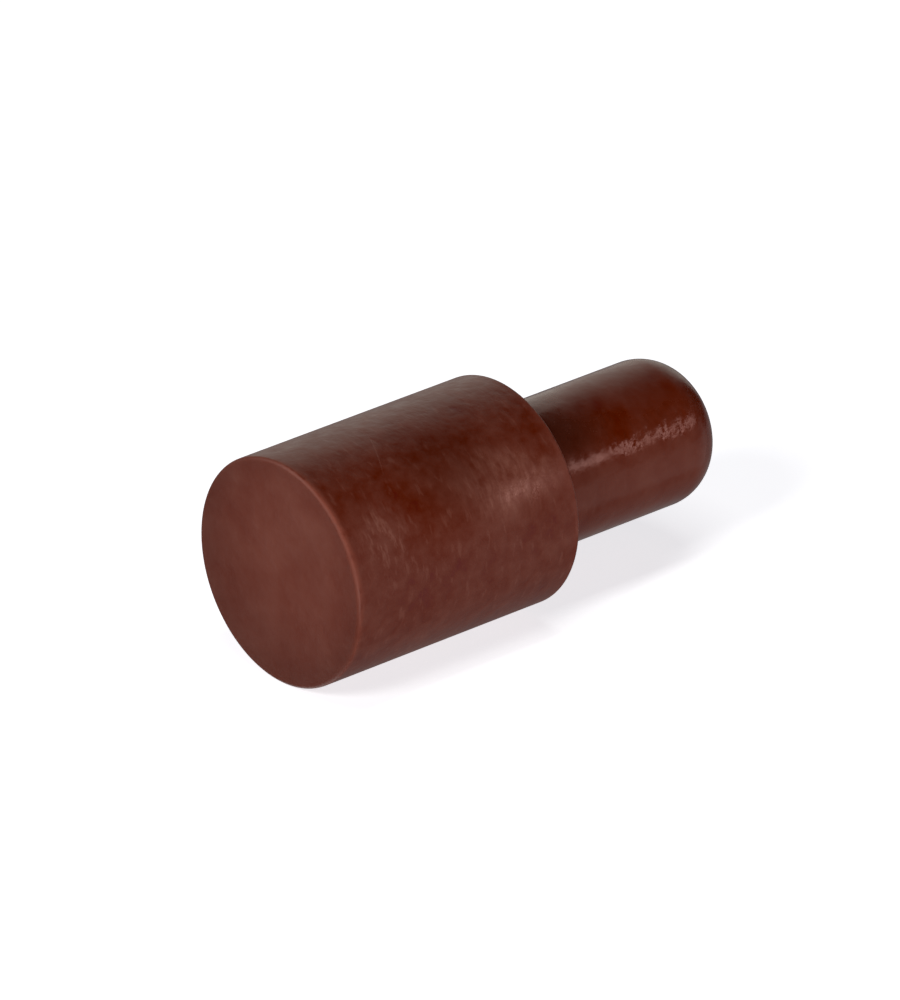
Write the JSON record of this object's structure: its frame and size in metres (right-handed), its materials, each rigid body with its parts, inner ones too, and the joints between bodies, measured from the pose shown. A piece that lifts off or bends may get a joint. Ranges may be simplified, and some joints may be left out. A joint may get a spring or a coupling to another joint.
{
  "type": "shelf support pin",
  "caption": "Moulded plastic shelf support pin: a round-tipped peg for a drilled hole and a thicker cylindrical head that carries the shelf.",
  "frame": {"origin": "centre of the head's flat end face, which the pin stands on", "axes": "+Z along the pin's axis, from the head's end face to the tip of the peg; X and Y are alike, because the pin is round"},
  "size_m": [0.0078, 0.0078, 0.0175],
  "materials": {
    "plastic": "satin"
  },
  "bodies": {
    "root": {"pin": "plastic"}
  },
  "joints": []
}
